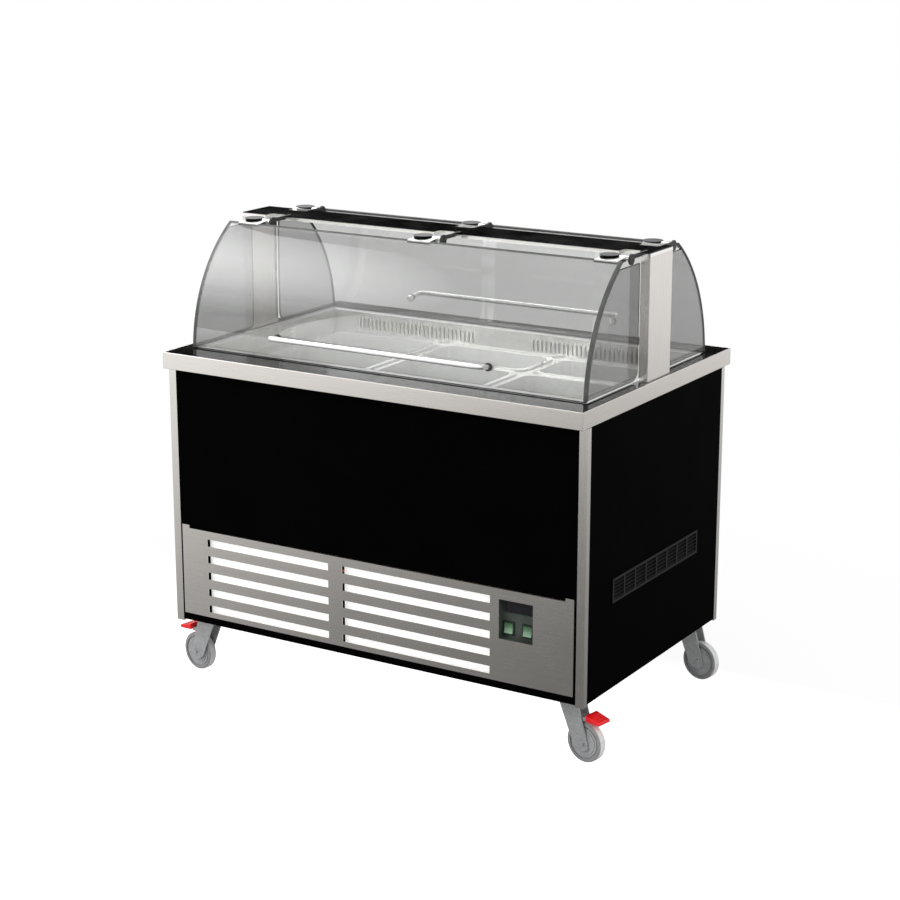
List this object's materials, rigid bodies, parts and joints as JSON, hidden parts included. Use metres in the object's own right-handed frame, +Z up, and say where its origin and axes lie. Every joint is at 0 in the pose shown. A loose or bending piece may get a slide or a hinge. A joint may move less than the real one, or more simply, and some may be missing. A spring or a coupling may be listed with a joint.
{
  "type": "buffet counter",
  "caption": "Refrigerated self-service buffet counter on castors: black and steel cabinet, sunk well of food pans, gantry with hinged curved glass guards.",
  "frame": {"origin": "on the floor under the centre of the worktop", "axes": "+X along the counter to the control end, +Y to the rear, +Z up"},
  "size_m": [1.243, 0.773, 1.157],
  "materials": {
    "stainless": "brushed",
    "polished": "polished",
    "black_paint": "satin",
    "black_top": "polished",
    "black_plastic": "matte",
    "grey_paint": "satin",
    "display": "gloss",
    "green_lens": "gloss",
    "red_plastic": "gloss",
    "white_mat": "matte",
    "foam": "matte",
    "guard_glass": "clear",
    "zinc": "zinc plated",
    "grey_tyre": "matte",
    "fins": "plain",
    "copper": "drawn"
  },
  "bodies": {
    "cabinet": {"base_tray": "black_paint", "corner_posts": "stainless", "front_panel": "black_paint", "side_panels": "black_paint", "rear_panel": "black_paint", "side_vents": "black_plastic", "front_grille": "stainless", "filter_mats": "white_mat", "control_box": "grey_paint", "thermostat": "display", "switch_frames": "black_plastic", "worktop_deck": "black_top", "worktop_edge": "stainless", "well_tub": "stainless", "well_insulation": "foam", "pan_frame": "stainless", "gantry_posts": "stainless", "gantry_tray": "stainless", "gantry_top": "black_top", "hinge_brackets": "black_paint", "castor_plates": "zinc", "compressor": "black_paint", "condenser": "fins", "fan_shroud": "black_paint", "refrigerant_pipes": "copper", "evaporator": "fins", "evaporator_fan_frame": "black_plastic", "mains_inlet": "black_plastic"},
    "front_guard": {"front_glass": "guard_glass", "front_cheeks": "guard_glass", "front_clamps": "stainless", "front_handle": "polished"},
    "rear_guard": {"rear_glass": "guard_glass", "rear_cheeks": "guard_glass", "rear_clamps": "stainless", "rear_handle": "polished"},
    "rocker_left_key": {"rocker_left": "green_lens"},
    "rocker_right_key": {"rocker_right": "green_lens"},
    "front_pan_left_body": {"front_pan_left": "stainless"},
    "front_pan_middle_body": {"front_pan_middle": "stainless"},
    "front_pan_right_body": {"front_pan_right": "stainless"},
    "rear_pan_left_body": {"rear_pan_left": "stainless"},
    "rear_pan_middle_body": {"rear_pan_middle": "stainless"},
    "rear_pan_right_body": {"rear_pan_right": "stainless"},
    "castor_front_left": {"fork_front_left": "zinc", "axle_front_left": "zinc"},
    "roller_front_left": {"wheel_front_left": "grey_tyre"},
    "pedal_front_left": {"brake_front_left": "red_plastic"},
    "castor_front_right": {"fork_front_right": "zinc", "axle_front_right": "zinc"},
    "roller_front_right": {"wheel_front_right": "grey_tyre"},
    "pedal_front_right": {"brake_front_right": "red_plastic"},
    "castor_rear_left": {"fork_rear_left": "zinc", "axle_rear_left": "zinc"},
    "roller_rear_left": {"wheel_rear_left": "grey_tyre"},
    "castor_rear_right": {"fork_rear_right": "zinc", "axle_rear_right": "zinc"},
    "roller_rear_right": {"wheel_rear_right": "grey_tyre"},
    "condenser_rotor": {"condenser_fan": "black_plastic"},
    "evaporator_rotor": {"evaporator_fan": "black_plastic"}
  },
  "joints": [
    {"name": "front_guard_hinge", "type": "hinge", "parent": "cabinet", "child": "front_guard", "pos_m": [0, -0.108, 1.144], "axis": [1, 0, 0], "range_deg": [-80, 0]},
    {"name": "rear_guard_hinge", "type": "hinge", "parent": "cabinet", "child": "rear_guard", "pos_m": [0, 0.108, 1.144], "axis": [1, 0, 0], "range_deg": [0, 80]},
    {"name": "rocker_left_tip", "type": "hinge", "parent": "cabinet", "child": "rocker_left_key", "pos_m": [0.379, -0.343, 0.302], "axis": [1, 0, 0], "range_deg": [0, 12]},
    {"name": "rocker_right_tip", "type": "hinge", "parent": "cabinet", "child": "rocker_right_key", "pos_m": [0.429, -0.343, 0.302], "axis": [1, 0, 0], "range_deg": [0, 12]},
    {"name": "front_pan_left_lift", "type": "slide", "parent": "cabinet", "child": "front_pan_left_body", "axis": [0, 0, 1], "range_m": [0, 0.12]},
    {"name": "front_pan_middle_lift", "type": "slide", "parent": "cabinet", "child": "front_pan_middle_body", "axis": [0, 0, 1], "range_m": [0, 0.12]},
    {"name": "front_pan_right_lift", "type": "slide", "parent": "cabinet", "child": "front_pan_right_body", "axis": [0, 0, 1], "range_m": [0, 0.12]},
    {"name": "rear_pan_left_lift", "type": "slide", "parent": "cabinet", "child": "rear_pan_left_body", "axis": [0, 0, 1], "range_m": [0, 0.12]},
    {"name": "rear_pan_middle_lift", "type": "slide", "parent": "cabinet", "child": "rear_pan_middle_body", "axis": [0, 0, 1], "range_m": [0, 0.12]},
    {"name": "rear_pan_right_lift", "type": "slide", "parent": "cabinet", "child": "rear_pan_right_body", "axis": [0, 0, 1], "range_m": [0, 0.12]},
    {"name": "swivel_front_left", "type": "hinge", "parent": "cabinet", "child": "castor_front_left", "pos_m": [-0.531, -0.303, 0.147], "axis": [0, 0, 1], "continuous": true},
    {"name": "roll_front_left", "type": "hinge", "parent": "castor_front_left", "child": "roller_front_left", "pos_m": [-0.56645, -0.29675, 0.049], "axis": [-0.1736, -0.9848, 0], "continuous": true},
    {"name": "brake_front_left_press", "type": "hinge", "parent": "castor_front_left", "child": "pedal_front_left", "pos_m": [-0.5507, -0.29953, 0.106], "axis": [-0.1736, -0.9848, 0], "range_deg": [0, 6]},
    {"name": "swivel_front_right", "type": "hinge", "parent": "cabinet", "child": "castor_front_right", "pos_m": [0.531, -0.303, 0.147], "axis": [0, 0, 1], "continuous": true},
    {"name": "roll_front_right", "type": "hinge", "parent": "castor_front_right", "child": "roller_front_right", "pos_m": [0.56645, -0.30925, 0.049], "axis": [0.1736, 0.9848, 0], "continuous": true},
    {"name": "brake_front_right_press", "type": "hinge", "parent": "castor_front_right", "child": "pedal_front_right", "pos_m": [0.5507, -0.30647, 0.106], "axis": [0.1736, 0.9848, 0], "range_deg": [0, 6]},
    {"name": "swivel_rear_left", "type": "hinge", "parent": "cabinet", "child": "castor_rear_left", "pos_m": [-0.531, 0.317, 0.147], "axis": [0, 0, 1], "continuous": true},
    {"name": "roll_rear_left", "type": "hinge", "parent": "castor_rear_left", "child": "roller_rear_left", "pos_m": [-0.56645, 0.32325, 0.049], "axis": [-0.1736, -0.9848, 0], "continuous": true},
    {"name": "swivel_rear_right", "type": "hinge", "parent": "cabinet", "child": "castor_rear_right", "pos_m": [0.531, 0.317, 0.147], "axis": [0, 0, 1], "continuous": true},
    {"name": "roll_rear_right", "type": "hinge", "parent": "castor_rear_right", "child": "roller_rear_right", "pos_m": [0.56645, 0.31075, 0.049], "axis": [0.1736, 0.9848, 0], "continuous": true},
    {"name": "condenser_fan_spin", "type": "hinge", "parent": "cabinet", "child": "condenser_rotor", "pos_m": [-0.28, -0.27, 0.28], "axis": [0, 1, 0], "continuous": true},
    {"name": "evaporator_fan_spin", "type": "hinge", "parent": "cabinet", "child": "evaporator_rotor", "pos_m": [0, 0.26, 0.618], "axis": [0, 1, 0], "continuous": true}
  ]
}
